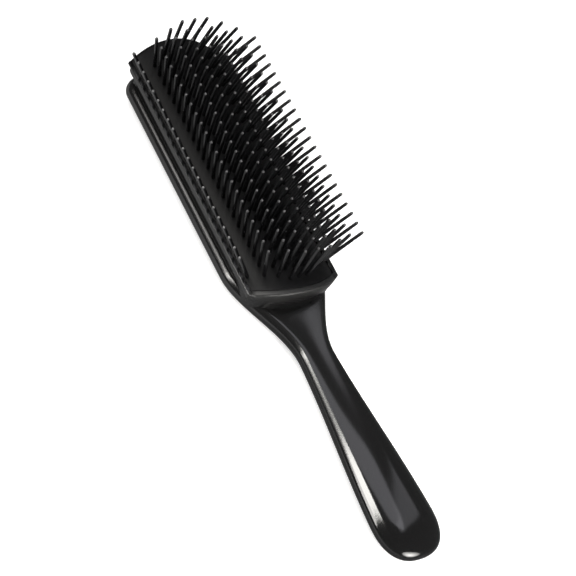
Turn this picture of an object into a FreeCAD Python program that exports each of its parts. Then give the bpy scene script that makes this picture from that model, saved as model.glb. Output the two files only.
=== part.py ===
import FreeCAD, Part

import math
import os

from FreeCAD import Base

# Detangling brush: a moulded handle with a tray-shaped head, an arched rubber pad that slides into
# the head from the tip, and nine pin strips that push up through the pad from below.
# Millimetres. +X runs from the head to the butt, +Y across the head, +Z along the middle pins.
# The origin is on the flat of the head's back, under the middle of the pin field.

# Pin field. The shares place each row between the outer row and the middle one.
PIN_PITCH = 4.5
ROW_PIN_COUNT = (22, 23, 24, 25, 25, 25, 24, 23, 22)
ROW_SHARE = (1.0, 0.7, 0.443, 0.216, 0.0)
ROW_TO_LIP = 1.1
PIN_LENGTH = 19.2
PIN_ROOT_RADIUS = 0.72
PIN_TIP_RADIUS = 0.56
PIN_TIP_ROUND = 0.5
PIN_SIDES = 6
PIN_HOLE_CLEARANCE = 0.12

# Pin strips under the pad
STRIP_WIDTH = 1.8
STRIP_THICKNESS = 1.6
STRIP_END = 2.0
STRIP_SEAT_CLEARANCE = 0.1

# Rubber pad
PAD_CROWN_RADIUS = 38.0
PAD_SHOULDER_RADIUS = 20.0
PAD_SHOULDER_WIDTH = 4.45
PAD_EDGE_RISE = 0.92
PAD_THICKNESS = 2.0
PAD_LEG_THICKNESS = 1.0
PAD_TIP_MARGIN = 6.2
PAD_NECK_MARGIN = 4.5
PAD_TIP_BOW = 45.0
SLIDE_CLEARANCE = 0.25

# Head across: rails, the groove below them and the bead of the base
RAIL_HALF = 20.6
RAIL_WALL = 0.9
RAIL_EDGE_ROUND = 0.7
LIP_WIDTH = 1.9
GROOVE_DEPTH = 1.4
WEB_THICKNESS = 2.2
BEAD_PROUD = 1.5

# Head upwards from its flat back
BASE_MID_HEIGHT = 6.0
BASE_RISE = 3.0
BACK_FLAT_CUT = 0.25
GROOVE_HEIGHT = 2.4
RAIL_SHELF = 0.6
CHANNEL_HEIGHT = 1.6
LIP_THICKNESS = 1.0
TRAY_FLOOR = 5.5
SILL_DEPTH = 0.4

# Head lengthways: end wall, tips of the rails and nose of the base
WALL_THICKNESS = 2.2
WALL_BOW = 36.0
WALL_TOP_ROUND = 0.8
RAIL_SETBACK = 7.2
WEB_SETBACK = 4.0
WEB_CORNER = 8.0
NOSE_LENGTH = 7.5
NOSE_END_HALF = 13.0
NOSE_END_SHARE = 0.5
NOSE_POWER = 2.0

# Neck and grip
SHOULDER_OVERLAP = 20.8
SHOULDER_LENGTH = 41.4
NECK_HALF = 7.5
NECK_DROP = 5.5
GRIP_TAPER_LENGTH = 69.5
GRIP_TAPER_STEADY = 0.5
GRIP_HALF = 13.4
GRIP_DROP = 5.9
GRIP_RISE = 4.8
GRIP_RISE_SETBACK = 11.0
GRIP_RISE_LENGTH = 76.0
BUTT_LENGTH = 16.0
BUTT_POWER = 2.45
SECTION_POWER_LOW = 2.2
SECTION_POWER_HEAD = 4.5
SECTION_POWER_NECK = 2.6
SECTION_POINTS = 24
FAR = 200.0

# Places across and upwards that follow from the sizes above
LIP_HALF = RAIL_HALF - LIP_WIDTH
CHANNEL_HALF = RAIL_HALF - RAIL_WALL
WEB_HALF = RAIL_HALF - GROOVE_DEPTH
TRAY_HALF = WEB_HALF - WEB_THICKNESS
BASE_HALF = RAIL_HALF + BEAD_PROUD
BASE_DROP = BASE_MID_HEIGHT + BACK_FLAT_CUT
BEAD_TOP = BASE_MID_HEIGHT + BASE_RISE
SILL_HEIGHT = BEAD_TOP - SILL_DEPTH
RAIL_UNDERSIDE = BEAD_TOP + GROOVE_HEIGHT
CHANNEL_FLOOR = RAIL_UNDERSIDE + RAIL_SHELF
LIP_UNDERSIDE = CHANNEL_FLOOR + CHANNEL_HEIGHT
RAIL_TOP = LIP_UNDERSIDE + LIP_THICKNESS
PAD_LEG_HALF = LIP_HALF - SLIDE_CLEARANCE
PAD_FOOT_HALF = CHANNEL_HALF - SLIDE_CLEARANCE
PAD_FOOT_TOP = LIP_UNDERSIDE - SLIDE_CLEARANCE
PAD_FOOT_LOW = CHANNEL_FLOOR + SLIDE_CLEARANCE
OUTER_ROW = LIP_HALF - ROW_TO_LIP
ROW_REACH = tuple(share * OUTER_ROW for share in ROW_SHARE)

# Arch of the pad: a crown arc and a tighter shoulder arc on each side
CENTRE_STEP = PAD_CROWN_RADIUS - PAD_SHOULDER_RADIUS
JOIN_ANGLE = math.asin((PAD_LEG_HALF - PAD_SHOULDER_WIDTH) / PAD_CROWN_RADIUS)
SHOULDER_CENTRE_Y = CENTRE_STEP * math.sin(JOIN_ANGLE)
EDGE_ANGLE = math.asin((PAD_LEG_HALF - SHOULDER_CENTRE_Y) / PAD_SHOULDER_RADIUS)
EDGE_HEIGHT = PAD_FOOT_TOP + PAD_EDGE_RISE
SHOULDER_CENTRE_Z = EDGE_HEIGHT - PAD_SHOULDER_RADIUS * math.cos(EDGE_ANGLE)
CROWN_CENTRE_Z = SHOULDER_CENTRE_Z - CENTRE_STEP * math.cos(JOIN_ANGLE)

# Places along the brush that follow from the sizes above
FIELD_HALF = (max(ROW_PIN_COUNT) - 1) * PIN_PITCH / 2
PAD_TIP_X = -FIELD_HALF - PAD_TIP_MARGIN
PAD_NECK_X = FIELD_HALF + PAD_NECK_MARGIN
WALL_X = PAD_NECK_X + SLIDE_CLEARANCE + WALL_THICKNESS
WALL_CENTRE_X = WALL_X - WALL_BOW
RAIL_TIP_X = PAD_TIP_X + RAIL_SETBACK
NOSE_TIP_X = RAIL_TIP_X
NOSE_ROOT_X = NOSE_TIP_X + NOSE_LENGTH
SHOULDER_X = WALL_X - SHOULDER_OVERLAP
NECK_X = SHOULDER_X + SHOULDER_LENGTH
GRIP_X = NECK_X + GRIP_TAPER_LENGTH
BUTT_X = GRIP_X + BUTT_LENGTH
RISE_X = WALL_X + GRIP_RISE_SETBACK


def blend(x, start, end, before, after):
    """Value that eases from one size to another between two places."""
    t = min(max((x - start) / (end - start), 0.0), 1.0)
    return before + (after - before) * t * t * (3 - 2 * t)


def round_end(t, power):
    """Share of the full size left at share t of the way along a rounded end."""
    return (1 - min(max(t, 0.0), 1.0) ** power) ** (1 / power)


def arch_angle(reach):
    """Slope of the pad's arch at a distance from its middle."""
    if abs(reach) <= PAD_CROWN_RADIUS * math.sin(JOIN_ANGLE):
        return math.asin(reach / PAD_CROWN_RADIUS)
    angle = math.asin((abs(reach) - SHOULDER_CENTRE_Y) / PAD_SHOULDER_RADIUS)
    return math.copysign(angle, reach)


def arch_point(angle, x=0.0):
    """Point on the pad's arch with a given slope."""
    if abs(angle) <= JOIN_ANGLE:
        y, z, radius = 0.0, CROWN_CENTRE_Z, PAD_CROWN_RADIUS
    else:
        y, z, radius = SHOULDER_CENTRE_Y, SHOULDER_CENTRE_Z, PAD_SHOULDER_RADIUS
    y = math.copysign(y, angle) + radius * math.sin(angle)
    return Base.Vector(x, y, z + radius * math.cos(angle))


def arc(start, middle, end):
    return Part.Arc(start, middle, end).toShape()


def arch_edges(end_angle, x):
    """Edges of the arch from -Y to +Y: a shoulder, the crown and the other shoulder."""
    stops = (-end_angle, -JOIN_ANGLE, JOIN_ANGLE, end_angle)
    edges = []
    for a, b in zip(stops, stops[1:]):
        edges.append(arc(*(arch_point(s, x) for s in (a, (a + b) / 2, b))))
    return edges


def lines(points):
    return [Part.makeLine(a, b) for a, b in zip(points, points[1:])]


def prism(edges, direction):
    wire = Part.Wire(Part.__sortEdges__(edges))
    return Part.Face(wire).extrude(direction)


def mirrored(points):
    """The same points on the other side of the brush, in reverse order."""
    return [Base.Vector(p.x, -p.y, p.z) for p in reversed(points)]


def end_arc(centre_x, radius, half, towards):
    """Plan arc across the head, bowed towards +X or -X."""
    reach = towards * math.sqrt(radius**2 - half**2)
    start = Base.Vector(centre_x + reach, -half, 0)
    end = Base.Vector(centre_x + reach, half, 0)
    return arc(start, Base.Vector(centre_x + towards * radius, 0, 0), end), start, end


def plan_prism(wall_inset, half, tip_edges, tip_start, tip_end, corner=0.0):
    """Upright block over the head's plan, closed at the neck by an arc parallel to the end wall."""
    neck, neck_start, neck_end = end_arc(WALL_CENTRE_X, WALL_BOW - wall_inset, half, 1)
    sides = lines([tip_end, neck_end]) + lines([neck_start, tip_start])
    block = prism(tip_edges + sides + [neck], Base.Vector(0, 0, FAR))
    if corner:
        upright = [
            e for e in block.Edges
            if abs(e.tangentAt(e.FirstParameter).z) > 0.9 and e.BoundBox.XMin > 0
        ]
        block = block.makeFillet(corner, upright)
    return block


def square_tip(x, half):
    start, end = Base.Vector(x, -half, 0), Base.Vector(x, half, 0)
    return lines([start, end]), start, end


# Handle: base plate, neck and grip in one loft

def half_width(x):
    if x < NOSE_ROOT_X:
        t = (NOSE_ROOT_X - x) / NOSE_LENGTH
        end = NOSE_END_HALF / BASE_HALF
        return BASE_HALF * (end + (1 - end) * round_end(t, NOSE_POWER))
    if x < NECK_X:
        return blend(x, SHOULDER_X, NECK_X, BASE_HALF, NECK_HALF)
    eased = blend(x, NECK_X, GRIP_X, NECK_HALF, GRIP_HALF)
    steady = NECK_HALF + (GRIP_HALF - NECK_HALF) * min((x - NECK_X) / (GRIP_X - NECK_X), 1.0)
    grip = eased + (steady - eased) * GRIP_TAPER_STEADY
    return grip * round_end((x - GRIP_X) / (BUTT_X - GRIP_X), BUTT_POWER)


def end_share(x):
    """Share of the full thickness left near the nose and the butt."""
    if x < NOSE_ROOT_X:
        t = (NOSE_ROOT_X - x) / NOSE_LENGTH
        return NOSE_END_SHARE + (1 - NOSE_END_SHARE) * round_end(t, NOSE_POWER)
    return round_end((x - GRIP_X) / (BUTT_X - GRIP_X), BUTT_POWER)


def section(x):
    """Closed outline of the handle at one place along it."""
    half = half_width(x)
    share = end_share(x)
    drop = blend(x, NECK_X, GRIP_X, blend(x, SHOULDER_X, NECK_X, BASE_DROP, NECK_DROP), GRIP_DROP)
    rise = blend(x, RISE_X, RISE_X + GRIP_RISE_LENGTH, BASE_RISE, GRIP_RISE)
    power_up = blend(x, SHOULDER_X, NECK_X, SECTION_POWER_HEAD, SECTION_POWER_NECK)
    power_up = blend(x, NECK_X, GRIP_X, power_up, SECTION_POWER_LOW)
    points = []
    for k in range(SECTION_POINTS):
        turn = 2 * math.pi * (k + 0.5) / SECTION_POINTS
        c, s = math.cos(turn), math.sin(turn)
        power = power_up if s > 0 else SECTION_POWER_LOW
        height = (rise if s > 0 else drop) * share
        y = half * math.copysign(abs(c) ** (2 / power), c)
        z = BASE_MID_HEIGHT + height * math.copysign(abs(s) ** (2 / power), s)
        points.append(Base.Vector(x, y, z))
    return Part.makePolygon(points + points[:1])


def stations():
    """Places of the loft's outlines, closer together where the form turns."""
    nose = [NOSE_ROOT_X - NOSE_LENGTH * math.sin(math.radians(a)) for a in (90, 70, 52, 36, 18)]
    head = [NOSE_ROOT_X, SHOULDER_X]
    shoulder = [SHOULDER_X + SHOULDER_LENGTH * k / 7 for k in range(1, 8)]
    grip = [NECK_X + (GRIP_X - NECK_X) * k / 5 for k in range(1, 6)]
    butt = [GRIP_X + (BUTT_X - GRIP_X) * math.sin(math.radians(a)) for a in (25, 45, 62, 75, 86)]
    return nose + head + shoulder + grip + butt


def handle_body():
    body = Part.makeLoft([section(x) for x in stations()], True, True)
    below = Part.makeBox(2 * FAR, 2 * FAR, FAR, Base.Vector(-FAR, -FAR, -FAR))
    return body.cut(below)


def rail_block():
    """Rails and end wall as one block whose top follows the pad's arch."""
    meet = math.acos((RAIL_TOP - SHOULDER_CENTRE_Z) / PAD_SHOULDER_RADIUS)
    r = RAIL_EDGE_ROUND
    bulge = r * (1 - math.sqrt(0.5))
    foot = Base.Vector(-FAR, RAIL_HALF, RAIL_UNDERSIDE)
    side = Base.Vector(-FAR, RAIL_HALF, RAIL_TOP - r)
    turn = Base.Vector(-FAR, RAIL_HALF - bulge, RAIL_TOP - bulge)
    top = Base.Vector(-FAR, RAIL_HALF - r, RAIL_TOP)
    inner = arch_point(meet, -FAR)
    m_inner, m_top, m_turn, m_side, m_foot = mirrored([foot, side, turn, top, inner])
    edges = lines([foot, side]) + [arc(side, turn, top)] + lines([top, inner])
    edges += arch_edges(meet, -FAR)
    edges += lines([m_inner, m_top]) + [arc(m_top, m_turn, m_side)] + lines([m_side, m_foot, foot])
    block = prism(edges, Base.Vector(2 * FAR, 0, 0))
    plan = plan_prism(0.0, RAIL_HALF, *square_tip(RAIL_TIP_X, RAIL_HALF))
    block = block.common(plan).common(rail_side_view())
    return block.makeFillet(WALL_TOP_ROUND, [e for e in block.Edges if crowns_wall(e)])


def crowns_wall(edge):
    """Whether an edge is where the arch meets the outer face of the end wall."""
    ends = [edge.valueAt(edge.FirstParameter), edge.valueAt(edge.LastParameter)]
    spans = [math.hypot(p.x - WALL_CENTRE_X, p.y) for p in ends]
    on_face = all(p.x > 0 and abs(s - WALL_BOW) < 0.01 for p, s in zip(ends, spans))
    return on_face and edge.BoundBox.ZMax > RAIL_TOP + WALL_TOP_ROUND / 10


def rail_side_view():
    """Block seen from the side, with the rails' tips fully rounded."""
    r = (RAIL_TOP - RAIL_UNDERSIDE) / 2
    low = Base.Vector(RAIL_TIP_X + r, -FAR, RAIL_UNDERSIDE)
    nose = Base.Vector(RAIL_TIP_X, -FAR, RAIL_UNDERSIDE + r)
    high = Base.Vector(RAIL_TIP_X + r, -FAR, RAIL_TOP)
    corners = [high, Base.Vector(high.x, -FAR, FAR), Base.Vector(FAR, -FAR, FAR)]
    corners += [Base.Vector(FAR, -FAR, RAIL_UNDERSIDE), low]
    return prism([arc(low, nose, high)] + lines(corners), Base.Vector(0, 2 * FAR, 0))


def web_block():
    """Recessed wall between the base and the rails."""
    tip = square_tip(RAIL_TIP_X + WEB_SETBACK, WEB_HALF)
    plan = plan_prism(0.0, WEB_HALF, *tip, corner=WEB_CORNER)
    layer = Part.makeBox(
        2 * FAR, 2 * FAR, CHANNEL_FLOOR - BASE_MID_HEIGHT, Base.Vector(-FAR, -FAR, BASE_MID_HEIGHT)
    )
    return plan.common(layer)


def pad_passage():
    """Space the pad slides through: open at the tip, with a channel behind each lip."""
    x = -FAR
    right = [
        Base.Vector(x, TRAY_HALF, SILL_HEIGHT),
        Base.Vector(x, TRAY_HALF, CHANNEL_FLOOR),
        Base.Vector(x, CHANNEL_HALF, CHANNEL_FLOOR),
        Base.Vector(x, CHANNEL_HALF, LIP_UNDERSIDE),
        Base.Vector(x, LIP_HALF, LIP_UNDERSIDE),
        Base.Vector(x, LIP_HALF, FAR),
    ]
    outline = right + mirrored(right)
    passage = prism(lines(outline + outline[:1]), Base.Vector(2 * FAR, 0, 0))
    plan = plan_prism(WALL_THICKNESS, RAIL_HALF, *square_tip(-FAR, RAIL_HALF))
    return passage.common(plan)


def tray_pocket():
    """Hollow under the pad, between the sill at the tip and the end wall."""
    tip = square_tip(RAIL_TIP_X + WEB_SETBACK, TRAY_HALF)
    pocket = plan_prism(WALL_THICKNESS, TRAY_HALF, *tip, corner=WEB_CORNER - WEB_THICKNESS)
    return pocket.translate(Base.Vector(0, 0, TRAY_FLOOR))


def handle():
    body = handle_body().fuse([web_block(), rail_block()])
    return body.cut(tray_pocket()).cut(pad_passage()).removeSplitter()


# Pad

def pad_plan(inset=0.0):
    tip_centre = PAD_TIP_X + PAD_TIP_BOW
    tip, start, end = end_arc(tip_centre, PAD_TIP_BOW - inset, RAIL_HALF, -1)
    return plan_prism(WALL_THICKNESS + SLIDE_CLEARANCE, RAIL_HALF, [tip], start, end)


def land_line(reach, depth):
    """Slope of a row's flat land and its distance from the origin, at a depth below its face."""
    angle = arch_angle(reach)
    root = arch_point(angle)
    return angle, root.y * math.sin(angle) + root.z * math.cos(angle) - depth


def land_corner(first, second, depth, x):
    """Point where the lands of two neighbouring rows meet."""
    a, a_off = land_line(first, depth)
    b, b_off = land_line(second, depth)
    spread = math.sin(a - b)
    y = (a_off * math.cos(b) - b_off * math.cos(a)) / spread
    return Base.Vector(x, y, (b_off * math.sin(a) - a_off * math.sin(b)) / spread)


def land_edge(half, depth, x):
    """Point where the outermost row's land ends, at a distance from the middle."""
    angle, off = land_line(ROW_REACH[0], depth)
    return Base.Vector(x, half, (off - half * math.sin(angle)) / math.cos(angle))


def lands(half, depth, x):
    """Corners of the pad's top on the +Y side, from its edge to its middle."""
    reaches = ROW_REACH
    corners = [land_corner(a, b, depth, x) for a, b in zip(reaches, reaches[1:])]
    return [land_edge(half, depth, x)] + corners


def pad_sheet():
    """Arched sheet with a flat land under each pin row and a foot along each side."""
    x = -FAR
    inner_half = PAD_LEG_HALF - PAD_LEG_THICKNESS
    foot = [
        Base.Vector(x, PAD_LEG_HALF, PAD_FOOT_TOP),
        Base.Vector(x, PAD_FOOT_HALF, PAD_FOOT_TOP),
        Base.Vector(x, PAD_FOOT_HALF, PAD_FOOT_LOW),
        Base.Vector(x, inner_half, PAD_FOOT_LOW),
    ]
    right = list(reversed(lands(PAD_LEG_HALF, 0.0, x))) + foot + lands(inner_half, PAD_THICKNESS, x)
    outline = right + mirrored(right)
    sheet = prism(lines(outline + outline[:1]), Base.Vector(2 * FAR, 0, 0))
    return sheet.common(pad_plan())


def pad_tip_wall():
    """Skirt that closes the arch at the tip, down to the sill."""
    x = -FAR
    half = TRAY_HALF - SLIDE_CLEARANCE
    low = Base.Vector(x, half, SILL_HEIGHT + SLIDE_CLEARANCE)
    right = list(reversed(lands(half, PAD_THICKNESS / 2, x))) + [low]
    outline = right + mirrored(right)
    fill = prism(lines(outline + outline[:1]), Base.Vector(2 * FAR, 0, 0))
    return fill.common(pad_plan()).cut(pad_plan(PAD_THICKNESS))


def row_reach(row):
    """Signed distance of a row's pin roots from the middle of the pad."""
    middle = len(ROW_PIN_COUNT) // 2
    if row <= middle:
        return -ROW_REACH[row]
    return ROW_REACH[len(ROW_PIN_COUNT) - 1 - row]


def pin_places(row):
    count = ROW_PIN_COUNT[row]
    return [(k - (count - 1) / 2) * PIN_PITCH for k in range(count)]


def on_row(shape, row):
    """Shape made about a pin's root, turned and moved to its row."""
    angle = arch_angle(row_reach(row))
    turn = Base.Rotation(Base.Vector(1, 0, 0), -math.degrees(angle))
    shape.Placement = Base.Placement(arch_point(angle), turn)
    return shape


def ring(radius, x, z):
    """Corners of a pin's many-sided outline at one height."""
    turns = [2 * math.pi * k / PIN_SIDES for k in range(PIN_SIDES)]
    return [Base.Vector(x + radius * math.cos(t), radius * math.sin(t), z) for t in turns]


def flat(points):
    return Part.Face(Part.makePolygon(points + points[:1]))


def pin_holes(row):
    """Cutters for the holes of one row, right through the pad."""
    radius = PIN_ROOT_RADIUS + PIN_HOLE_CLEARANCE
    depth = Base.Vector(0, 0, 2 * PAD_THICKNESS)
    low = -1.5 * PAD_THICKNESS
    holes = [flat(ring(radius, x, low)).extrude(depth) for x in pin_places(row)]
    return on_row(Part.makeCompound(holes), row)


def cushion_pad():
    pad = pad_sheet().fuse(pad_tip_wall()).removeSplitter()
    return pad.cut([pin_holes(row) for row in range(len(ROW_PIN_COUNT))])


# Pin strips

def pin(x):
    """Tapered pin with a blunted tip, standing on the strip's mid-height."""
    root = -PAD_THICKNESS - STRIP_SEAT_CLEARANCE - STRIP_THICKNESS / 2
    rings = [
        ring(PIN_ROOT_RADIUS, x, root),
        ring(PIN_TIP_RADIUS, x, PIN_LENGTH - PIN_TIP_ROUND),
        ring(PIN_TIP_RADIUS / 2, x, PIN_LENGTH),
    ]
    faces = [flat(rings[0]), flat(rings[-1])]
    for low, high in zip(rings, rings[1:]):
        for k in range(PIN_SIDES):
            faces.append(flat([low[k - 1], low[k], high[k], high[k - 1]]))
    return Part.Solid(Part.Shell(faces))


def pin_row(row):
    places = pin_places(row)
    top = -PAD_THICKNESS - STRIP_SEAT_CLEARANCE
    strip = Part.makeBox(
        places[-1] - places[0] + 2 * STRIP_END,
        STRIP_WIDTH,
        STRIP_THICKNESS,
        Base.Vector(places[0] - STRIP_END, -STRIP_WIDTH / 2, top - STRIP_THICKNESS),
    )
    return on_row(strip.fuse([pin(x) for x in places]), row)


def main():
    os.makedirs("parts", exist_ok=True)
    pieces = {"handle": handle(), "cushion_pad": cushion_pad()}
    for row in range(len(ROW_PIN_COUNT)):
        pieces[f"pin_row_{row + 1}"] = pin_row(row)
    for name, shape in pieces.items():
        shape.exportStep(f"parts/{name}.step")


main()
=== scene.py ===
"""Detangling brush: black glossy handle, arched rubber pad and nine rows of slim nylon pins.

Sizes of the brush are in millimetres, as on a maker's drawing, and become metres where a mesh is placed.
Finishes and studio are in metres. +X runs from the head to the butt of the handle, +Y across the head and
+Z along the middle pins.
"""

from __future__ import annotations

import logging
import math
from dataclasses import dataclass
from enum import Enum

import bpy
from mathutils import Matrix, Vector

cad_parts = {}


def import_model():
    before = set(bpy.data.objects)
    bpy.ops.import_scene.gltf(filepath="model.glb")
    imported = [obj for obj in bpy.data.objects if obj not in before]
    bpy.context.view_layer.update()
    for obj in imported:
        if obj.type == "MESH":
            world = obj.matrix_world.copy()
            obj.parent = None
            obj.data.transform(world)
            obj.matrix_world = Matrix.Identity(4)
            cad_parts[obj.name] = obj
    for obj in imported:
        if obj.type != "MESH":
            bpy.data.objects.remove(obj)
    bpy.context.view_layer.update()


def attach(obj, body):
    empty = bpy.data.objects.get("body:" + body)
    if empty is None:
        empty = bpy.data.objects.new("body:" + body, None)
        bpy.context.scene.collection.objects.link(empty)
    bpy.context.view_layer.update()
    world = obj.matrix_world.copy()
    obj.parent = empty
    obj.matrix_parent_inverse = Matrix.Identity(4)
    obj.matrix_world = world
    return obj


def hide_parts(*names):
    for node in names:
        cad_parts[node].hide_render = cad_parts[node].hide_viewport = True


LOG = logging.getLogger("detangling_brush")
MM = 0.001
QUARTER = math.pi / 2

# In metres: points nearer than the first are one point, and faces thinner than the second are dropped.
TOUCH = 1e-7
SLIVER = 1e-8

# In degrees: faces that meet at more than this show a crease.
BODY_CREASE = 35
EDGE_CREASE = 40
PIN_CREASE = 50

# The mesh attribute that is 1 on the matt rim of the end wall, and on the pins' noses where a highlight is
# painted.
MATT_RIM_AND_NOSE_HIGHLIGHT = "finish_mark"

# The two tints of lamp light.
WARM = (1.0, 0.98, 0.945)
COOL = (0.94, 0.94, 1.0)

Colour = tuple[float, float, float]
Place = tuple[float, float, float]
Point = tuple[float, float]
Ring = list[Vector]


class Body(Enum):
    """The rigid bodies that pieces ride on."""

    HANDLE = "handle"
    PAD = "pad"


class Slot(Enum):
    """The record's material slots."""

    HANDLE = "handle_gloss"
    PAD = "pad_rubber"
    PIN = "pin_nylon"


def ease(x: float, start: float, end: float, before: float, after: float) -> float:
    """Gives the size at place x, which eases from its value before the start to that after the end."""
    t = min(max((x - start) / (end - start), 0.0), 1.0)
    return before + (after - before) * t * t * (3 - 2 * t)


def round_end(t: float, power: float) -> float:
    """Gives the share of the full size left at share t of a rounded end: an ellipse if power is 2."""
    return (1 - min(max(t, 0.0), 1.0) ** power) ** (1 / power)


def signed_power(value: float, power: float) -> float:
    """Raises a value's size to a power and keeps its sign."""
    return math.copysign(abs(value) ** power, value)


def spaced(start: float, end: float, count: int) -> list[float]:
    """Gives evenly spaced places from start to end, both included."""
    return [start + (end - start) * k / (count - 1) for k in range(count)]


class Bench:
    """The modelling operations that the pieces share."""

    @staticmethod
    def clear() -> None:
        """Leaves edit mode and deselects everything."""
        if bpy.context.object and bpy.context.object.mode != "OBJECT":
            bpy.ops.object.mode_set(mode="OBJECT")
        bpy.ops.object.select_all(action="DESELECT")

    @staticmethod
    def pick(*objects: bpy.types.Object) -> None:
        """Selects these objects alone and makes the first one active.

        Args:
            *objects: The objects.
        """
        Bench.clear()
        for obj in objects:
            obj.select_set(True)
        bpy.context.view_layer.objects.active = objects[0]

    @staticmethod
    def wrap(name: str, rings: list[Ring]) -> bpy.types.Object:
        """Wraps a flat grid into a closed tube through rings of points and closes its ends.

        Args:
            name: Name of the new piece.
            rings: Closed outlines in millimetres, all with the same number of points.

        Returns:
            The new mesh object, at the origin.
        """
        around, along = len(rings[0]), len(rings)
        Bench.clear()
        bpy.ops.mesh.primitive_grid_add(x_subdivisions=around, y_subdivisions=along - 1, size=1)
        obj = bpy.context.object
        obj.name = obj.data.name = name
        # The grid is one metre wide about the origin, so a place on it gives the point's number.
        for vert in obj.data.vertices:
            j = round((vert.co.x + 0.5) * around) % around
            i = round((vert.co.y + 0.5) * (along - 1))
            vert.co = rings[i][j] * MM
        bpy.ops.object.mode_set(mode="EDIT")
        bpy.ops.mesh.select_all(action="SELECT")
        bpy.ops.mesh.remove_doubles(threshold=TOUCH)
        bpy.ops.mesh.dissolve_degenerate(threshold=SLIVER)
        bpy.ops.mesh.select_all(action="SELECT")
        bpy.ops.mesh.fill_holes(sides=0)
        bpy.ops.mesh.select_all(action="SELECT")
        bpy.ops.mesh.normals_make_consistent(inside=False)
        bpy.ops.object.mode_set(mode="OBJECT")
        return obj

    @staticmethod
    def apply(obj: bpy.types.Object, kind: str, **settings: object) -> None:
        """Adds a modifier with these settings and applies it.

        Args:
            obj: The piece.
            kind: Blender's name for the modifier's type.
            **settings: The modifier's own settings.
        """
        Bench.pick(obj)
        modifier = obj.modifiers.new(kind.lower(), kind)
        for key, value in settings.items():
            setattr(modifier, key, value)
        bpy.ops.object.modifier_apply(modifier=modifier.name)

    @staticmethod
    def cut(obj: bpy.types.Object, cutter: bpy.types.Object) -> None:
        """Takes a cutter's volume out of a piece and removes the cutter."""
        Bench.apply(obj, "BOOLEAN", object=cutter, operation="DIFFERENCE", solver="EXACT")
        bpy.data.objects.remove(cutter)

    @staticmethod
    def join(name: str, pieces: list[bpy.types.Object]) -> bpy.types.Object:
        """Joins pieces into one object.

        Args:
            name: Name of the object.
            pieces: The pieces.

        Returns:
            The joined object.
        """
        Bench.pick(*pieces)
        bpy.ops.object.join()
        obj = bpy.context.object
        obj.name = obj.data.name = name
        return obj

    @staticmethod
    def smooth(obj: bpy.types.Object, degrees: float) -> None:
        """Shades a piece smooth, with a crease where faces meet at more than this angle."""
        Bench.pick(obj)
        bpy.ops.object.shade_smooth_by_angle(angle=math.radians(degrees))

    @staticmethod
    def mark_points(obj: bpy.types.Object, shares: list[float]) -> None:
        """Stores for each point of a piece how far it takes the marked finish: the matt rim of the end wall
        and the painted highlight on the pins' noses.

        Args:
            obj: The piece.
            shares: A share from 0 to 1 for each point of its mesh.
        """
        finish_mark = obj.data.attributes.new(MATT_RIM_AND_NOSE_HIGHLIGHT, "FLOAT", "POINT")
        for k, share in enumerate(shares):
            finish_mark.data[k].value = share


class NodeBench:
    """Short ways to add and link shader nodes in one tree."""

    # A Mix node has sockets for every kind of value, so those for colours are found by number.
    BLEND_INPUTS = (0, 6, 7)
    BLEND_RESULT = 2

    def __init__(self, tree: bpy.types.NodeTree) -> None:
        """Keeps the tree that nodes are added to."""
        self.tree = tree

    def add(self, kind: str, **inputs: object) -> bpy.types.Node:
        """Adds a node and sets or links its inputs.

        Args:
            kind: Blender's node type.
            **inputs: Input names with underscores for spaces. A socket is linked, a value is set.

        Returns:
            The new node.
        """
        node = self.tree.nodes.new(kind)
        for key, value in inputs.items():
            self.feed(node, key.replace("_", " "), value)
        return node

    def feed(self, node: bpy.types.Node, socket: str | int, value: object) -> None:
        """Links a socket to, or sets a value on, one input of a node.

        Args:
            node: The node.
            socket: Name or number of its input.
            value: A socket or a value.
        """
        if isinstance(value, bpy.types.NodeSocket):
            self.tree.links.new(value, node.inputs[socket])
        else:
            node.inputs[socket].default_value = value

    def maths(self, operation: str, a: object, b: object = 0.0) -> bpy.types.NodeSocket:
        """Adds a Math node.

        Args:
            operation: Blender's name for the operation.
            a: First socket or value.
            b: Second socket or value.

        Returns:
            Its result.
        """
        node = self.tree.nodes.new("ShaderNodeMath")
        node.operation = operation
        self.feed(node, 0, a)
        self.feed(node, 1, b)
        return node.outputs[0]

    def blend(self, share: object, first: object, second: object) -> bpy.types.NodeSocket:
        """Adds a mix of two colours.

        Args:
            share: Share of the second colour, from 0 to 1.
            first: First socket or colour.
            second: Second socket or colour.

        Returns:
            Its result.
        """
        node = self.tree.nodes.new("ShaderNodeMix")
        node.data_type = "RGBA"
        for socket, value in zip(self.BLEND_INPUTS, (share, first, second)):
            self.feed(node, socket, value)
        return node.outputs[self.BLEND_RESULT]


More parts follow.
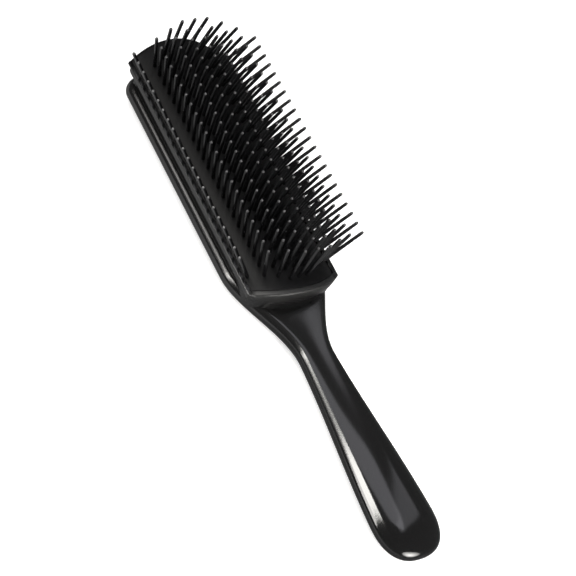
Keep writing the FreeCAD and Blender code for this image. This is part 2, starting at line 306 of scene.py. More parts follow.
class MouldedSurface:
    """Shader group for what every moulded surface shows: a fine grain and a slow drift of sheen.

    Both grow weaker towards the butt where a piece is polished by the hand.
    """

    NAME = "moulded_surface"
    INPUTS = {
        "Grain Scale": 2000.0, "Drift Scale": 40.0, "Low": 0.2, "High": 0.3,
        "Polish Start": 0.0, "Polish End": 0.1, "Polish Share": 1.0,
    }
    OUTPUTS = ("Grain", "Drift", "Roughness")
    GRAIN_DETAIL = 3.0
    DRIFT_DETAIL = 4.0

    @classmethod
    def tree(cls) -> bpy.types.NodeTree:
        """Builds the group on first use.

        Returns:
            The group.
        """
        found = bpy.data.node_groups.get(cls.NAME)
        if found:
            return found
        tree = bpy.data.node_groups.new(cls.NAME, "ShaderNodeTree")
        for name, value in cls.INPUTS.items():
            socket = tree.interface.new_socket(name, in_out="INPUT", socket_type="NodeSocketFloat")
            socket.default_value = value
        for name in cls.OUTPUTS:
            tree.interface.new_socket(name, in_out="OUTPUT", socket_type="NodeSocketFloat")
        bench = NodeBench(tree)
        into = bench.add("NodeGroupInput").outputs
        out = bench.add("NodeGroupOutput")
        place = bench.add("ShaderNodeTexCoord").outputs["Object"]
        noise = "ShaderNodeTexNoise"
        grain = bench.add(noise, Vector=place, Scale=into["Grain Scale"], Detail=cls.GRAIN_DETAIL)
        drift = bench.add(noise, Vector=place, Scale=into["Drift Scale"], Detail=cls.DRIFT_DETAIL)
        span = bench.maths("SUBTRACT", into["High"], into["Low"])
        rough = bench.maths("ADD", into["Low"], bench.maths("MULTIPLY", span, drift.outputs["Fac"]))
        along = bench.add("ShaderNodeSeparateXYZ", Vector=place).outputs["X"]
        fade = bench.add(
            "ShaderNodeMapRange", Value=along, From_Min=into["Polish Start"], From_Max=into["Polish End"],
            To_Min=1.0, To_Max=into["Polish Share"],
        )
        fade.interpolation_type = "SMOOTHSTEP"
        left = fade.outputs["Result"]
        bench.feed(out, "Grain", bench.maths("MULTIPLY", grain.outputs["Fac"], left))
        bench.feed(out, "Drift", drift.outputs["Fac"])
        bench.feed(out, "Roughness", bench.maths("MULTIPLY", rough, left))
        return tree


@dataclass(frozen=True)
class Finish:
    """A moulded finish: its two close colours, sheen and grain.

    Args:
        name: Name of the material.
        dark: Colour in the low spots of the drift.
        light: Colour in the high spots.
        rough_low: Least roughness.
        rough_high: Most roughness.
        specular: Specular level of the base.
        grain_scale: Grains per metre.
        drift_scale: Slow patches per metre.
        grain_height: Height of the grain in metres.
        polish_start: Place along the brush, in metres, where hand polish starts.
        polish_end: Place where it is complete.
        polish_share: Share of roughness and grain that the polish leaves.
        marked_colour: Colour where the mesh's own mark attribute is 1, if it has one: a slightly lighter
            colour on the matt rim of the end wall, and a painted highlight on the pins' noses.
        marked_rough: Roughness that the mark adds.
    """

    name: str
    dark: Colour
    light: Colour
    rough_low: float
    rough_high: float
    specular: float
    grain_scale: float
    drift_scale: float
    grain_height: float
    polish_start: float = 0.0
    polish_end: float = 0.1
    polish_share: float = 1.0
    marked_colour: Colour | None = None
    marked_rough: float = 0.0

    def material(self) -> bpy.types.Material:
        """Builds the finish.

        Returns:
            The new material.
        """
        mat = bpy.data.materials.new(self.name)
        mat.use_nodes = True
        bench = NodeBench(mat.node_tree)
        shader = mat.node_tree.nodes["Principled BSDF"]
        group = bench.add("ShaderNodeGroup")
        group.node_tree = MouldedSurface.tree()
        settings = (
            self.grain_scale, self.drift_scale, self.rough_low, self.rough_high,
            self.polish_start, self.polish_end, self.polish_share,
        )
        for name, value in zip(MouldedSurface.INPUTS, settings):
            group.inputs[name].default_value = value
        colour = bench.blend(group.outputs["Drift"], (*self.dark, 1.0), (*self.light, 1.0))
        rough = group.outputs["Roughness"]
        # The marked colour: a slightly lighter matt rim on the end wall, and a painted highlight on the pins'
        # noses.
        if self.marked_colour:
            mark = bench.add("ShaderNodeAttribute")
            mark.attribute_name = MATT_RIM_AND_NOSE_HIGHLIGHT
            finish_mark = mark.outputs["Fac"]
            colour = bench.blend(finish_mark, colour, (*self.marked_colour, 1.0))
            rough = bench.maths("ADD", rough, bench.maths("MULTIPLY", finish_mark, self.marked_rough))
        bump = bench.add("ShaderNodeBump", Height=group.outputs["Grain"], Distance=self.grain_height)
        bench.feed(shader, "Base Color", colour)
        bench.feed(shader, "Roughness", rough)
        bench.feed(shader, "Normal", bump.outputs["Normal"])
        shader.inputs["Specular IOR Level"].default_value = self.specular
        return mat


# Polished along the grip by the hand, and left matt on the rim of the end wall.
GLOSS_MOULDING = Finish(
    name="polished_black_moulding",
    dark=(0.0045, 0.0045, 0.0046), light=(0.0075, 0.0075, 0.0077),
    rough_low=0.14, rough_high=0.21, specular=0.62,
    grain_scale=1500.0, drift_scale=30.0, grain_height=0.000012,
    polish_start=0.075, polish_end=0.135, polish_share=0.55,
    marked_colour=(0.009, 0.009, 0.009), marked_rough=0.35,
)
MATT_RUBBER = Finish(
    name="matt_black_rubber",
    dark=(0.004, 0.004, 0.0043), light=(0.007, 0.007, 0.0076),
    rough_low=0.34, rough_high=0.46, specular=0.1,
    grain_scale=2600.0, drift_scale=90.0, grain_height=0.00002,
)
# A painted highlight: lighter grey painted on the noses of the pins.
SATIN_NYLON = Finish(
    name="satin_black_nylon",
    dark=(0.003, 0.003, 0.0034), light=(0.006, 0.006, 0.0068),
    rough_low=0.17, rough_high=0.25, specular=0.6,
    grain_scale=3000.0, drift_scale=120.0, grain_height=0.000004,
    marked_colour=(0.065, 0.065, 0.067),
)


def dress(
    obj: bpy.types.Object, material: bpy.types.Material, body: Body, nodes: list[str]
) -> bpy.types.Object:
    """Gives a piece its finish, the body it rides on and the solids it stands for.

    Args:
        obj: The piece.
        material: Its finish.
        body: The body it rides on.
        nodes: The solids it replaces.

    Returns:
        The same piece.
    """
    obj.data.materials.clear()
    obj.data.materials.append(material)
    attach(obj, body.value)
    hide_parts(*nodes)
    LOG.info("%s: %d faces on %s", obj.name, len(obj.data.polygons), body.value)
    return obj


@dataclass
class PadArch:
    """Cross-section of the pad's top: a crown arc with a tighter shoulder arc on each side."""

    crown_radius: float = 38.0
    shoulder_radius: float = 20.0
    edge_half: float = 18.45
    shoulder_width: float = 4.45
    edge_height: float = 14.27

    def __post_init__(self) -> None:
        """Works out the arcs' centres from the pad's edge."""
        step = self.crown_radius - self.shoulder_radius
        self.join = math.asin((self.edge_half - self.shoulder_width) / self.crown_radius)
        self.side_y = step * math.sin(self.join)
        edge = math.asin((self.edge_half - self.side_y) / self.shoulder_radius)
        self.side_z = self.edge_height - self.shoulder_radius * math.cos(edge)
        self.crown_z = self.side_z - step * math.cos(self.join)

    def angle(self, y: float) -> float:
        """Gives the slope of the arch.

        Args:
            y: Distance from the middle.

        Returns:
            The slope in radians, positive on the +Y side.
        """
        if abs(y) <= self.crown_radius * math.sin(self.join):
            return math.asin(y / self.crown_radius)
        return math.copysign(math.asin((abs(y) - self.side_y) / self.shoulder_radius), y)

    def height(self, y: float, depth: float = 0.0) -> float:
        """Gives the arch's height.

        Args:
            y: Distance from the middle.
            depth: Depth below the top face.

        Returns:
            Height above the brush's flat back.
        """
        if abs(y) <= (self.crown_radius - depth) * math.sin(self.join):
            return self.crown_z + math.sqrt((self.crown_radius - depth) ** 2 - y * y)
        return self.side_z + math.sqrt((self.shoulder_radius - depth) ** 2 - (abs(y) - self.side_y) ** 2)


@dataclass
class HandleMoulding:
    """The one-piece moulding: base with its bead, web, rails, end wall, neck and grip."""

    arch: PadArch

    # Rounded nose and base plate.
    nose_tip: float = -53.0
    nose_root: float = -45.5
    nose_end_half: float = 13.0
    nose_end_share: float = 0.5
    nose_power: float = 2.0
    base_half: float = 22.1
    base_rise: float = 3.0
    base_drop: float = 6.25
    mid_height: float = 6.0

    # Shoulder, neck, grip and butt.
    shoulder: float = 40.15
    neck: float = 81.55
    neck_half: float = 7.5
    neck_drop: float = 5.5
    grip: float = 151.05
    grip_half: float = 13.4
    grip_steady: float = 0.5
    grip_drop: float = 5.9
    grip_rise: float = 4.8
    rise_start: float = 71.95
    rise_end: float = 147.95
    butt: float = 167.0
    butt_power: float = 2.45

    # Squareness of the section: 2 is an ellipse.
    low_power: float = 2.2
    head_power: float = 4.5
    neck_power: float = 2.6

    # Round bead along the top edges, which fades into the grip.
    bead: float = 3.0
    bead_fade: float = 58.0
    bead_end: float = 96.0

    # Shallow hollow along the top of the neck, between two ridges.
    hollow: float = 0.6
    hollow_start: float = 56.0
    hollow_full: float = 68.0
    hollow_fade: float = 90.0
    hollow_end: float = 142.0
    ridge: float = 1.0

    # Tray in the head and the web round it.
    tray_half: float = 17.0
    tray_floor: float = 5.5
    tray_run_out: float = 10.0
    sill: float = 8.6
    web_tip: float = -49.0
    web_half: float = 19.2
    web_thickness: float = 2.2
    web_corner: float = 8.0
    overlap: float = 0.3

    # Rails with a rounded belly, a crowned top and an inward lip.
    rail_tip: float = -53.0
    rail_low: float = 11.4
    rail_top: float = 14.6
    rail_half: float = 20.6
    rail_end_gap: float = 0.05
    belly_width: float = 1.15
    belly_height: float = 1.6
    crown_width: float = 1.6
    crown_height: float = 0.4
    channel_half: float = 19.7
    channel_floor: float = 12.0
    lip_half: float = 18.7
    lip_under: float = 13.6
    lip_edge: float = 0.15

    # At its tip a rail's outer face draws in, and its height closes to this share.
    tip_draw: float = 0.8
    tip_draw_depth: float = 1.5
    tip_least: float = 0.02

    # Bowed end wall, matt from a little above the rails' underside.
    wall_x: float = 60.95
    wall_bow: float = 36.0
    wall_thickness: float = 2.2
    wall_round: float = 0.9
    wall_inner_round: float = 0.2
    wall_inner_bend: float = 0.3
    wall_matt_above: float = 0.5

    # Numbers of points and rings.
    body_points: int = 72
    nose_rings: int = 14
    head_rings: int = 24
    neck_rings: int = 56
    butt_rings: int = 22
    side_points: int = 12
    corner_points: int = 10
    arc_points: int = 36
    edge_points: int = 7
    rail_tip_rings: int = 10
    rail_rings: int = 30
    wall_rings: int = 61
    wall_round_points: int = 8

    @property
    def wall_centre(self) -> float:
        """Gives the place along the brush of the end wall's arc centre."""
        return self.wall_x - self.wall_bow

    def nose_share(self, x: float) -> float:
        """Gives the share of the full size that the nose's rounding leaves at a place."""
        t = (self.nose_root - x) / (self.nose_root - self.nose_tip)
        return round_end(t, self.nose_power)

    def butt_share(self, x: float) -> float:
        """Gives the share of the full size that the butt's rounding leaves at a place."""
        return round_end((x - self.grip) / (self.butt - self.grip), self.butt_power)

    def half_width(self, x: float) -> float:
        """Gives half the moulding's width.

        Args:
            x: Place along the brush.

        Returns:
            Half the width there.
        """
        if x < self.nose_root:
            return self.nose_end_half + (self.base_half - self.nose_end_half) * self.nose_share(x)
        if x < self.neck:
            return ease(x, self.shoulder, self.neck, self.base_half, self.neck_half)
        eased = ease(x, self.neck, self.grip, self.neck_half, self.grip_half)
        share = min((x - self.neck) / (self.grip - self.neck), 1.0)
        steady = self.neck_half + (self.grip_half - self.neck_half) * share
        full = eased + (steady - eased) * self.grip_steady
        return full * self.butt_share(x)

    def end_share(self, x: float) -> float:
        """Gives the share of the full thickness left at a place, less than 1 at the nose and the butt."""
        nose = self.nose_end_share + (1 - self.nose_end_share) * self.nose_share(x)
        return nose * self.butt_share(x)

    def hollow_depth(self, x: float) -> float:
        """Gives the depth of the hollow in the neck's top at a place along the brush."""
        sunk = ease(x, self.hollow_start, self.hollow_full, 0.0, self.hollow)
        return ease(x, self.hollow_fade, self.hollow_end, sunk, 0.0)

    def body_ring(self, x: float) -> Ring:
        """Gives the closed outline of base, neck or grip.

        Args:
            x: Place along the brush.

        Returns:
            The outline's points.
        """
        half, share = self.half_width(x), self.end_share(x)
        drop = ease(x, self.shoulder, self.neck, self.base_drop, self.neck_drop)
        drop = ease(x, self.neck, self.grip, drop, self.grip_drop) * share
        rise = ease(x, self.rise_start, self.rise_end, self.base_rise, self.grip_rise) * share
        power = ease(x, self.shoulder, self.neck, self.head_power, self.neck_power)
        power = ease(x, self.neck, self.grip, power, self.low_power)
        hollow = self.hollow_depth(x)
        ring = []
        for k in range(self.body_points):
            turn = 2 * math.pi * k / self.body_points
            c, s = math.cos(turn), math.sin(turn)
            bend = power if s > 0 else self.low_power
            y = half * signed_power(c, 2 / bend)
            z = (rise if s > 0 else drop) * signed_power(s, 2 / bend)
            if s > 0:
                past = min(max(abs(y) - half + self.bead, 0.0) / self.bead, 1.0)
                z = ease(x, self.bead_fade, self.bead_end, rise * math.sqrt(1 - past * past), z)
                across = min(abs(y) / max(half - self.ridge, self.ridge), 1.0)
                z -= hollow * (1 - across * across) ** 2
            ring.append(Vector((x, y, max(self.mid_height + z, 0.0))))
        return ring

    def body(self) -> bpy.types.Object:
        """Builds base, neck and grip as one form, with the tray sunk into the base.

        Returns:
            The form.
        """
        nose_length, butt_length = self.nose_root - self.nose_tip, self.butt - self.grip
        nose = [self.nose_root - nose_length * math.cos(a) for a in spaced(0, QUARTER, self.nose_rings)]
        head = spaced(self.nose_root, self.shoulder, self.head_rings)[1:]
        neck = spaced(self.shoulder, self.grip, self.neck_rings)[1:]
        butt = [self.grip + butt_length * math.sin(a) for a in spaced(0, QUARTER, self.butt_rings)][1:]
        obj = Bench.wrap("handle_body", [self.body_ring(x) for x in nose + head + neck + butt])
        Bench.cut(obj, self.tray_cutter(self.web_tip, self.tray_floor))
        Bench.cut(obj, self.tray_cutter(self.nose_tip - self.tray_run_out, self.sill))
        return obj

    def tray_plan(self, tip: float, half: float, bow: float, corner: float) -> list[Point]:
        """Gives a plan outline that is open along the tip: side, corner, wall arc, corner, side.

        Args:
            tip: Place of the outline's ends along the brush.
            half: Distance of the sides from the middle.
            bow: Radius of the arc at the end wall.
            corner: Radius of the rounded corners.

        Returns:
            Points from the -Y end to the +Y end.
        """
        corner_y = half - corner
        corner_x = self.wall_centre + math.sqrt((bow - corner) ** 2 - corner_y**2)
        meet = math.asin(corner_y / (bow - corner))
        side = [(x, half) for x in spaced(tip, corner_x, self.side_points)[:-1]]
        bend = [
            (corner_x + corner * math.sin(a), corner_y + corner * math.cos(a))
            for a in spaced(0, QUARTER - meet, self.corner_points)
        ]
        arc = [
            (self.wall_centre + bow * math.cos(a), bow * math.sin(a))
            for a in spaced(meet, -meet, self.arc_points)[1:-1]
        ]
        right = side + bend
        return [(x, -y) for x, y in right] + list(reversed(arc)) + list(reversed(right))

    def tray_inside(self, tip: float) -> list[Point]:
        """Gives the plan of the tray's inner face, from a place near the tip to the end wall."""
        bow, corner = self.wall_bow - self.wall_thickness, self.web_corner - self.web_thickness
        return self.tray_plan(tip, self.tray_half, bow, corner)

    def tray_cutter(self, tip: float, floor: float) -> bpy.types.Object:
        """Builds the block that is cut from the base to sink the tray, from its tip end and floor."""
        levels = [[Vector((x, y, z)) for x, y in self.tray_inside(tip)] for z in (floor, self.rail_top)]
        return Bench.wrap("tray_cutter", levels)

    def web(self) -> bpy.types.Object:
        """Builds the recessed wall that carries the rails.

        Returns:
            The wall.
        """
        outer = self.tray_plan(self.web_tip, self.web_half, self.wall_bow, self.web_corner)
        inner = self.tray_inside(self.web_tip)
        low, high = self.mid_height - self.overlap, self.rail_low + self.overlap
        rings = []
        for (ox, oy), (ix, iy) in zip(outer, inner):
            corners = ((ox, oy, low), (ox, oy, high), (ix, iy, high), (ix, iy, low))
            rings.append([Vector(c) for c in corners])
        return Bench.wrap("handle_web", rings)

    def rail_outline(self) -> list[Point]:
        """Gives the rail's closed section on the +Y side: a channel under an inward lip.

        Returns:
            Points as distance from the middle and height.
        """
        outer, low, top = self.rail_half, self.rail_low, self.rail_top
        quarter = [(1 - math.cos(a), 1 - math.sin(a)) for a in spaced(0, QUARTER, self.edge_points)]
        belly = [(outer - self.belly_width * u, low + self.belly_height * v) for u, v in reversed(quarter)]
        crown = [(outer - self.crown_width * u, top - self.crown_height * v) for u, v in quarter]
        lip, crisp, under = self.lip_half, self.lip_edge, self.lip_under
        mouth = [(lip + crisp, top), (lip, top - crisp), (lip, under + crisp), (lip + crisp, under)]
        channel, floor = self.channel_half, self.channel_floor
        inside = [(channel, under), (channel, floor), (self.tray_half, floor), (self.tray_half, low)]
        return belly + crown + mouth + inside

    def rail(self, side: int) -> bpy.types.Object:
        """Builds one rail, with its tip fully rounded.

        Args:
            side: 1 for the rail on the +Y side, -1 for the other.

        Returns:
            The rail.
        """
        outline = self.rail_outline()
        middle = (self.rail_low + self.rail_top) / 2
        radius = self.rail_top - middle
        end = self.wall_centre + math.sqrt(self.wall_bow**2 - self.rail_half**2) - self.rail_end_gap
        tip = [self.rail_tip + radius * (1 - math.cos(a)) for a in spaced(0, QUARTER, self.rail_tip_rings)]
        straight = spaced(self.rail_tip + radius, end, self.rail_rings)[1:]
        rings = []
        for x in tip + straight:
            t = min((x - self.rail_tip) / radius, 1.0)
            share = math.sqrt(max(1 - (1 - t) ** 2, 0.0))
            draw = self.tip_draw * (1 - share)
            ring = []
            for y, z in outline:
                inset = draw if y > self.rail_half - self.tip_draw_depth else 0.0
                height = middle + (z - middle) * max(share, self.tip_least)
                ring.append(Vector((x, side * (y - inset), height)))
            rings.append(ring)
        return Bench.wrap(f"handle_rail_{'right' if side > 0 else 'left'}", rings)

    def wall_top(self, y: float) -> float:
        """Gives the end wall's height: flush with the pad's arch, and with the lips at its ends."""
        y = min(abs(y), self.arch.edge_half)
        return max(self.arch.height(y), self.rail_top)

    def on_wall(self, radius: float, turn: float, height: float) -> Vector:
        """Gives the point at a radius, turn and height about the end wall's arc centre."""
        return Vector((self.wall_centre + radius * math.cos(turn), radius * math.sin(turn), height))

    def end_wall(self) -> bpy.types.Object:
        """Builds the bowed end wall with its rounded top edge.

        Returns:
            The wall.
        """
        reach = math.asin(self.rail_half / self.wall_bow)
        outer, inner = self.wall_bow, self.wall_bow - self.wall_thickness
        r, small = self.wall_round, self.wall_inner_round
        bends = spaced(0, QUARTER, self.wall_round_points)
        rim = [(outer - r * (1 - math.cos(b)), -r * (1 - math.sin(b))) for b in bends]
        bend = small * self.wall_inner_bend
        rim += [(inner + small, 0.0), (inner + bend, -bend), (inner, -small)]
        rings = []
        for turn in spaced(-reach, reach, self.wall_rings):
            ring = [self.on_wall(outer, turn, self.rail_low)]
            for radius, fall in rim:
                ring.append(self.on_wall(radius, turn, self.wall_top(radius * math.sin(turn)) + fall))
            ring.append(self.on_wall(inner, turn, self.rail_low))
            rings.append(ring)
        obj = Bench.wrap("handle_end_wall", rings)
        matt_from = self.rail_low + self.wall_matt_above
        Bench.mark_points(obj, [float(vert.co.z / MM > matt_from) for vert in obj.data.vertices])
        return obj

    def build(self, material: bpy.types.Material) -> bpy.types.Object:
        """Builds and dresses the whole moulding as one piece on the handle's body.

        Args:
            material: The finish.

        Returns:
            The moulding.
        """
        body = self.body()
        Bench.smooth(body, BODY_CREASE)
        parts = [self.web(), self.rail(1), self.rail(-1), self.end_wall()]
        for part in parts:
            Bench.smooth(part, EDGE_CREASE)
        obj = Bench.join("handle_moulding", [body, *parts])
        return dress(obj, material, Body.HANDLE, ["handle"])


@dataclass
class CushionPad:
    """The arched rubber pad with a foot along each side and a skirt that closes its tip."""

    arch: PadArch

    # Bowed ends and rounded edges of the sheet.
    tip: float = -60.19
    tip_bow: float = 45.0
    tip_round: float = 1.3
    near_bow: float = 33.75
    near_centre: float = 24.95
    near_round: float = 0.2
    thickness: float = 2.0

    # Feet that run in the rails' channels.
    leg_half: float = 18.6
    leg_inner: float = 17.45
    foot_half: float = 19.45
    foot_top: float = 13.35
    foot_low: float = 12.25

    # Skirt under the tip, which reaches into the sheet by a share of its thickness.
    skirt_half: float = 16.75
    skirt_low: float = 8.85
    skirt_inset: float = 0.12
    skirt_reach: float = 0.6

    # Numbers of points and rings, and the share of the length between an end and the first even ring.
    arch_points: int = 56
    tip_rings: int = 8
    near_rings: int = 5
    sheet_rings: int = 40
    skirt_rings: int = 33
    end_gap: float = 0.02

    def tip_x(self, y: float) -> float:
        """Gives where the pad's tip end lies at a distance from the middle."""
        return self.tip + self.tip_bow - math.sqrt(self.tip_bow**2 - y * y)

    def near_x(self, y: float) -> float:
        """Gives where the pad's end at the neck lies at a distance from the middle."""
        return self.near_centre + math.sqrt(self.near_bow**2 - y * y)

    def outline(self) -> list[tuple[float, float, bool]]:
        """Gives the pad's closed section.

        Returns:
            Points as distance, height and whether the point is on the top face.
        """
        across = spaced(-self.leg_half, self.leg_half, self.arch_points)
        top = [(y, self.arch.height(y), True) for y in across]
        foot = [(self.leg_half, self.foot_top), (self.foot_half, self.foot_top)]
        foot += [(self.foot_half, self.foot_low), (self.leg_inner, self.foot_low)]
        right = [(y, z, False) for y, z in foot]
        inner = spaced(self.leg_inner, -self.leg_inner, self.arch_points // 2)
        under = [(y, self.arch.height(y, self.thickness), False) for y in inner]
        left = [(-y, z, False) for y, z, _ in reversed(right)]
        return top + right + under + left

    def middle_ring(self, share: float) -> Ring:
        """Gives the sheet's section at a share of the way from its tip to the neck."""
        spans = [(self.tip_x(y), self.near_x(y), y, z) for y, z, _ in self.outline()]
        return [Vector((start + (end - start) * share, y, z)) for start, end, y, z in spans]

    def end_ring(self, at_tip: bool, turn: float) -> Ring:
        """Gives the sheet's section on the rounded edge of an end.

        Args:
            at_tip: Whether the end is the tip.
            turn: Angle round the edge, from 0 at the end itself to a quarter turn on the top face.

        Returns:
            The section's points.
        """
        r = self.tip_round if at_tip else self.near_round
        place, fall = r * (1 - math.cos(turn)), r * (1 - math.sin(turn))
        ring = []
        for y, z, on_top in self.outline():
            x = self.tip_x(y) + place if at_tip else self.near_x(y) - place
            ring.append(Vector((x, y, z - fall if on_top else z)))
        return ring

    def sheet(self) -> bpy.types.Object:
        """Builds the arched sheet with rounded ends.

        Returns:
            The sheet.
        """
        middle = spaced(self.end_gap, 1 - self.end_gap, self.sheet_rings)
        rings = [self.end_ring(True, turn) for turn in spaced(0, QUARTER, self.tip_rings)]
        rings += [self.middle_ring(share) for share in middle]
        rings += [self.end_ring(False, turn) for turn in spaced(QUARTER, 0, self.near_rings)]
        return Bench.wrap("cushion_sheet", rings)

    def skirt(self) -> bpy.types.Object:
        """Builds the curved wall under the sheet's tip.

        Returns:
            The wall.
        """
        rings = []
        for y in spaced(-self.skirt_half, self.skirt_half, self.skirt_rings):
            top = self.arch.height(y, self.thickness * self.skirt_reach)
            front, back = self.tip_x(y) + self.skirt_inset, self.tip_x(y) + self.thickness
            corners = ((front, self.skirt_low), (front, top), (back, top), (back, self.skirt_low))
            rings.append([Vector((x, y, z)) for x, z in corners])
        return Bench.wrap("cushion_skirt", rings)

    def build(self, material: bpy.types.Material) -> bpy.types.Object:
        """Builds and dresses the pad.

        Args:
            material: The finish.

        Returns:
            The pad.
        """
        parts = [self.sheet(), self.skirt()]
        for part in parts:
            Bench.smooth(part, EDGE_CREASE)
        obj = Bench.join("rubber_pad", parts)
        dress(obj, material, Body.PAD, ["cushion_pad"])
        return obj


@dataclass
class PinStrips:
    """The nine nylon strips with their rows of tapered, round-nosed pins."""

    arch: PadArch

    # Rows from the -Y side: pins in each, and distance from the middle up to the middle row.
    counts: tuple[int, ...] = (22, 23, 24, 25, 25, 25, 24, 23, 22)
    reaches: tuple[float, ...] = (17.6, 12.32, 7.7968, 3.8016, 0.0)
    pitch: float = 4.5

    # One pin. The nose is given in steps of height and the share of the radius left after each.
    length: float = 19.03
    root_radius: float = 0.8
    tip_radius: float = 0.68
    sides: int = 8
    nose: tuple[Point, ...] = ((0.42, 0.82), (0.32, 0.46))

    # Bar of a strip, seated under the pad.
    pad_thickness: float = 2.0
    seat_gap: float = 0.1
    strip_width: float = 1.8
    strip_thickness: float = 1.6
    strip_end: float = 2.0
    strip_edge: float = 0.2
    strip_edge_steps: int = 2

    def pin(self) -> bpy.types.Object:
        """Builds one pin about its root: a tapered rod whose nose is rounded in steps.

        Returns:
            The pin, with its nose marked for a painted highlight.
        """
        low = -self.pad_thickness - self.seat_gap - self.strip_thickness / 2
        straight = self.length - sum(step for step, _ in self.nose)
        Bench.clear()
        bpy.ops.mesh.primitive_cylinder_add(
            vertices=self.sides,
            radius=self.root_radius * MM,
            depth=(straight - low) * MM,
            location=(0, 0, (straight + low) / 2 * MM),
        )
        bpy.ops.object.transform_apply(location=True, rotation=True, scale=True)
        obj = bpy.context.object
        self.grip_top(obj)
        self.shrink(self.tip_radius / self.root_radius)
        share = 1.0
        for step, left in self.nose:
            bpy.ops.mesh.extrude_region_move(TRANSFORM_OT_translate={"value": (0, 0, step * MM)})
            self.shrink(left / share)
            share = left
        bpy.ops.object.mode_set(mode="OBJECT")
        nose_length = self.length - straight
        # Marks the nose for its painted highlight, from 0 where the nose starts to 1 at the tip.
        Bench.mark_points(obj, [max(v.co.z / MM - straight, 0.0) / nose_length for v in obj.data.vertices])
        return obj

    @staticmethod
    def grip_top(obj: bpy.types.Object) -> None:
        """Enters edit mode with the pin's top face alone selected.

        Args:
            obj: The pin.
        """
        top = max(v.co.z for v in obj.data.vertices)
        bpy.ops.object.mode_set(mode="EDIT")
        bpy.ops.mesh.select_mode(type="FACE")
        bpy.ops.mesh.select_all(action="DESELECT")
        bpy.ops.object.mode_set(mode="OBJECT")
        for face in obj.data.polygons:
            face.select = all(abs(obj.data.vertices[v].co.z - top) < TOUCH for v in face.vertices)
        bpy.ops.object.mode_set(mode="EDIT")

    @staticmethod
    def shrink(share: float) -> None:
        """Scales the selected face about the pin's axis."""
        bpy.ops.transform.resize(value=(share, share, 1.0), center_override=(0.0, 0.0, 0.0))

    def row(self, index: int, pin: bpy.types.Object, material: bpy.types.Material) -> bpy.types.Object:
        """Builds and dresses one strip with its pins.

        Args:
            index: Row number from 0, from the -Y side.
            pin: The pin that is copied.
            material: The finish.

        Returns:
            The strip.
        """
        count = self.counts[index]
        span = (count - 1) * self.pitch
        pins = pin.copy()
        pins.data = pin.data.copy()
        bpy.context.scene.collection.objects.link(pins)
        pins.data.transform(Matrix.Translation((-span / 2 * MM, 0, 0)))
        Bench.apply(
            pins, "ARRAY", count=count, use_relative_offset=False, use_constant_offset=True,
            constant_offset_displace=(self.pitch * MM, 0, 0),
        )
        Bench.smooth(pins, PIN_CREASE)
        obj = Bench.join(f"pin_strip_{index + 1}", [pins, self.bar(span)])
        middle = len(self.counts) // 2
        reach = -self.reaches[index] if index <= middle else self.reaches[len(self.counts) - 1 - index]
        turn = Matrix.Rotation(-self.arch.angle(reach), 4, "X")
        place = Matrix.Translation((0, reach * MM, self.arch.height(reach) * MM))
        obj.data.transform(place @ turn)
        return dress(obj, material, Body.PAD, [f"pin_row_{index + 1}"])

    def bar(self, span: float) -> bpy.types.Object:
        """Builds a strip's bar under the pad, with softened edges.

        Args:
            span: Distance from the first pin to the last.

        Returns:
            The bar.
        """
        top = -self.pad_thickness - self.seat_gap
        Bench.clear()
        bpy.ops.mesh.primitive_cube_add(
            size=1,
            location=(0, 0, (top - self.strip_thickness / 2) * MM),
            scale=((span + 2 * self.strip_end) * MM, self.strip_width * MM, self.strip_thickness * MM),
        )
        bpy.ops.object.transform_apply(location=True, rotation=True, scale=True)
        obj = bpy.context.object
        Bench.apply(obj, "BEVEL", width=self.strip_edge * MM, segments=self.strip_edge_steps)
        Bench.smooth(obj, EDGE_CREASE)
        return obj

    def build(self, material: bpy.types.Material) -> list[bpy.types.Object]:
        """Builds all strips from one pin.

        Args:
            material: The finish.

        Returns:
            The strips, from the -Y side.
        """
        pin = self.pin()
        rows = [self.row(k, pin, material) for k in range(len(self.counts))]
        bpy.data.objects.remove(pin)
        return rows


@dataclass(frozen=True)
class SoftBox:
    """A studio lamp: where it stands, what it points at, how its length lies, its size and its power.

    An oval lamp is an ellipse. With less spread, in radians, its reflection fades towards the edge.
    """

    name: str
    place: Place
    aim: Place
    along: Place
    length: float
    width: float
    power: float
    oval: bool = False
    spread: float = math.pi
    colour: Colour = WARM

    def build(self) -> bpy.types.Object:
        """Adds the lamp.

        Returns:
            The lamp.
        """
        data = bpy.data.lights.new(self.name, "AREA")
        data.shape = "ELLIPSE" if self.oval else "RECTANGLE"
        data.spread = self.spread
        data.size, data.size_y = self.length, self.width
        data.energy = self.power
        data.color = self.colour
        obj = bpy.data.objects.new(self.name, data)
        bpy.context.scene.collection.objects.link(obj)
        back = (Vector(self.place) - Vector(self.aim)).normalized()
        side = Vector(self.along)
        side = (side - back * side.dot(back)).normalized()
        turn = Matrix((side, back.cross(side), back)).transposed()
        obj.matrix_world = Matrix.Translation(self.place) @ turn.to_4x4()
        return obj


